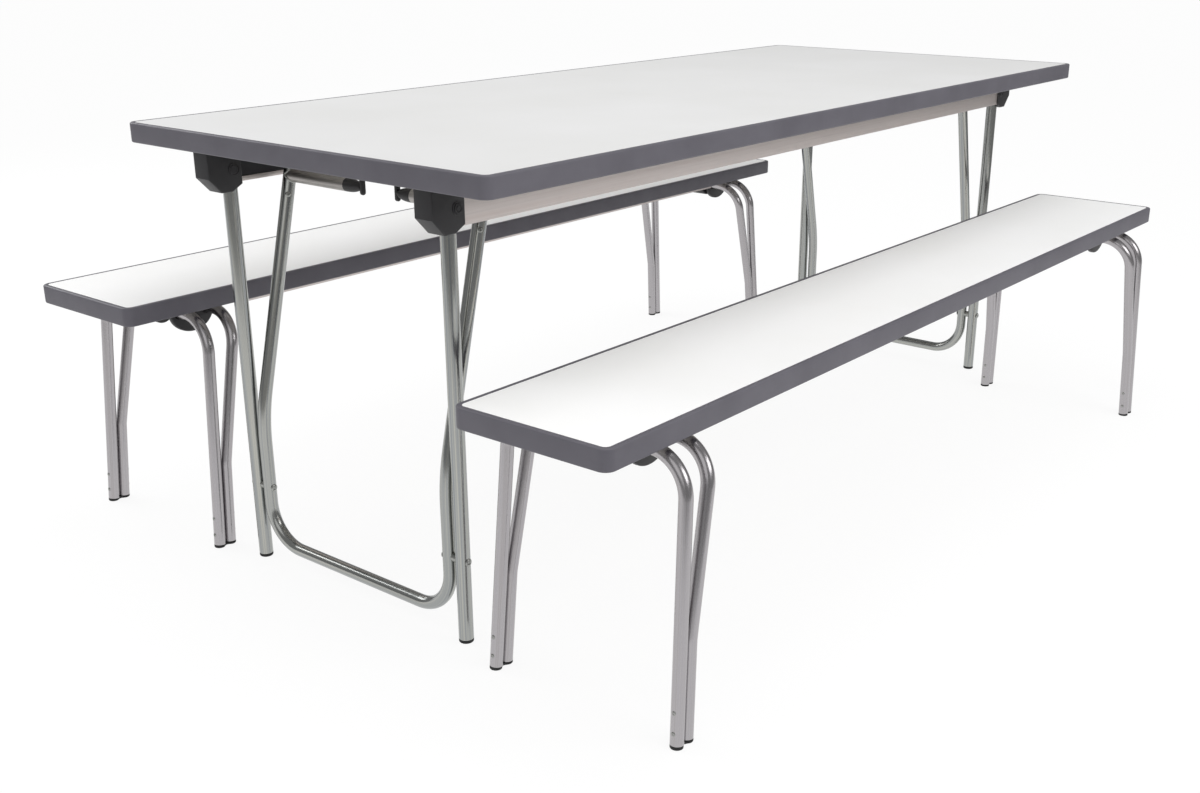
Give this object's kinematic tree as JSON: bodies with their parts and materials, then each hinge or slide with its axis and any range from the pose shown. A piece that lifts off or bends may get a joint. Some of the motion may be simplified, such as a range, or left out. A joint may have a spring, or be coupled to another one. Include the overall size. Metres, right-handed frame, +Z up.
{
  "type": "folding table with benches",
  "caption": "Folding school table with a dark edge trim and tubular folding legs, with a pair of matching folding benches beside it.",
  "frame": {"origin": "on the floor under the middle of the whole set", "axes": "+X along the table towards its far end, +Y towards the left bench, +Z up"},
  "size_m": [1.883, 1.305, 0.71],
  "materials": {
    "board_laminate": "white matt laminate on board",
    "edge_trim": "dark grey moulded edging",
    "aluminium_section": "brushed",
    "black_plastic": "black moulded plastic",
    "zinc_steel": "bright zinc plate",
    "bench_tube": "satin",
    "foot_rubber": "black"
  },
  "bodies": {
    "table": {"table_board": "board_laminate", "table_edge_trim": "edge_trim", "left_rail": "aluminium_section", "right_rail": "aluminium_section", "near_left_bracket": "black_plastic", "near_left_pivot_pin": "black_plastic", "near_right_bracket": "black_plastic", "near_right_pivot_pin": "black_plastic", "far_left_bracket": "black_plastic", "far_left_pivot_pin": "black_plastic", "far_right_bracket": "black_plastic", "far_right_pivot_pin": "black_plastic"},
    "near_legs": {"near_left_leg": "zinc_steel", "near_left_foot": "foot_rubber", "near_left_rivet": "zinc_steel", "near_right_leg": "zinc_steel", "near_right_foot": "foot_rubber", "near_right_rivet": "zinc_steel"},
    "near_brace": {"near_brace": "zinc_steel", "near_left_stub_plug": "black_plastic", "near_right_stub_plug": "black_plastic"},
    "near_left_tab": {"near_left_release_tab": "black_plastic"},
    "near_right_tab": {"near_right_release_tab": "black_plastic"},
    "far_legs": {"far_left_leg": "zinc_steel", "far_left_foot": "foot_rubber", "far_left_rivet": "zinc_steel", "far_right_leg": "zinc_steel", "far_right_foot": "foot_rubber", "far_right_rivet": "zinc_steel"},
    "far_brace": {"far_brace": "zinc_steel", "far_left_stub_plug": "black_plastic", "far_right_stub_plug": "black_plastic"},
    "far_left_tab": {"far_left_release_tab": "black_plastic"},
    "far_right_tab": {"far_right_release_tab": "black_plastic"},
    "left_bench": {"left_bench_board": "board_laminate", "left_bench_edge_trim": "edge_trim", "left_bench_channel": "aluminium_section", "left_bench_near_seat_bracket": "black_plastic", "left_bench_far_seat_bracket": "black_plastic"},
    "left_bench_near_legs": {"left_bench_near_outer_frame": "bench_tube", "left_bench_near_inner_frame": "bench_tube", "left_bench_near_left_shoe": "foot_rubber", "left_bench_near_right_shoe": "foot_rubber"},
    "left_bench_far_legs": {"left_bench_far_outer_frame": "bench_tube", "left_bench_far_inner_frame": "bench_tube", "left_bench_far_left_shoe": "foot_rubber", "left_bench_far_right_shoe": "foot_rubber"},
    "right_bench": {"right_bench_board": "board_laminate", "right_bench_edge_trim": "edge_trim", "right_bench_channel": "aluminium_section", "right_bench_near_seat_bracket": "black_plastic", "right_bench_far_seat_bracket": "black_plastic"},
    "right_bench_near_legs": {"right_bench_near_outer_frame": "bench_tube", "right_bench_near_inner_frame": "bench_tube", "right_bench_near_left_shoe": "foot_rubber", "right_bench_near_right_shoe": "foot_rubber"},
    "right_bench_far_legs": {"right_bench_far_outer_frame": "bench_tube", "right_bench_far_inner_frame": "bench_tube", "right_bench_far_left_shoe": "foot_rubber", "right_bench_far_right_shoe": "foot_rubber"}
  },
  "joints": [
    {"name": "near_leg_fold", "type": "hinge", "parent": "table", "child": "near_legs", "pos_m": [-0.8155, 0, 0.6454], "axis": [0, -1, 0], "range_deg": [0, 90]},
    {"name": "near_brace_fold", "type": "hinge", "parent": "near_legs", "child": "near_brace", "pos_m": [-0.8155, 0, 0.131], "axis": [0, -1, 0], "range_deg": [0, 12.73]},
    {"name": "near_left_tab_pinch", "type": "slide", "parent": "near_brace", "child": "near_left_tab", "axis": [0, -1, 0], "range_m": [0, 0.01], "stiffness_N_per_m": 600, "springref_m": -0.004},
    {"name": "near_right_tab_pinch", "type": "slide", "parent": "near_brace", "child": "near_right_tab", "axis": [0, 1, 0], "range_m": [0, 0.01], "stiffness_N_per_m": 600, "springref_m": -0.004},
    {"name": "far_leg_fold", "type": "hinge", "parent": "table", "child": "far_legs", "pos_m": [0.8685, 0, 0.6454], "axis": [0, 1, 0], "range_deg": [0, 90]},
    {"name": "far_brace_fold", "type": "hinge", "parent": "far_legs", "child": "far_brace", "pos_m": [0.8685, 0, 0.131], "axis": [0, 1, 0], "range_deg": [0, 12.73]},
    {"name": "far_left_tab_pinch", "type": "slide", "parent": "far_brace", "child": "far_left_tab", "axis": [0, -1, 0], "range_m": [0, 0.01], "stiffness_N_per_m": 600, "springref_m": -0.004},
    {"name": "far_right_tab_pinch", "type": "slide", "parent": "far_brace", "child": "far_right_tab", "axis": [0, 1, 0], "range_m": [0, 0.01], "stiffness_N_per_m": 600, "springref_m": -0.004},
    {"name": "left_bench_slide", "type": "slide", "parent": "table", "child": "left_bench", "axis": [0, 1, 0], "range_m": [-0.05, 0.3]},
    {"name": "left_bench_near_fold", "type": "hinge", "parent": "left_bench", "child": "left_bench_near_legs", "pos_m": [-0.7617, 0.483, 0.3884], "axis": [0, -1, 0], "range_deg": [0, 97]},
    {"name": "left_bench_far_fold", "type": "hinge", "parent": "left_bench", "child": "left_bench_far_legs", "pos_m": [0.7087, 0.483, 0.3884], "axis": [0, 1, 0], "range_deg": [0, 97]},
    {"name": "right_bench_slide", "type": "slide", "parent": "table", "child": "right_bench", "axis": [0, -1, 0], "range_m": [-0.05, 0.3]},
    {"name": "right_bench_near_fold", "type": "hinge", "parent": "right_bench", "child": "right_bench_near_legs", "pos_m": [-0.7617, -0.483, 0.3884], "axis": [0, -1, 0], "range_deg": [0, 97]},
    {"name": "right_bench_far_fold", "type": "hinge", "parent": "right_bench", "child": "right_bench_far_legs", "pos_m": [0.7087, -0.483, 0.3884], "axis": [0, 1, 0], "range_deg": [0, 97]}
  ],
  "couplings": [
    {"joint": "near_brace_fold", "follows": "near_leg_fold", "ratio": 0.1409},
    {"joint": "far_brace_fold", "follows": "far_leg_fold", "ratio": 0.1409}
  ]
}
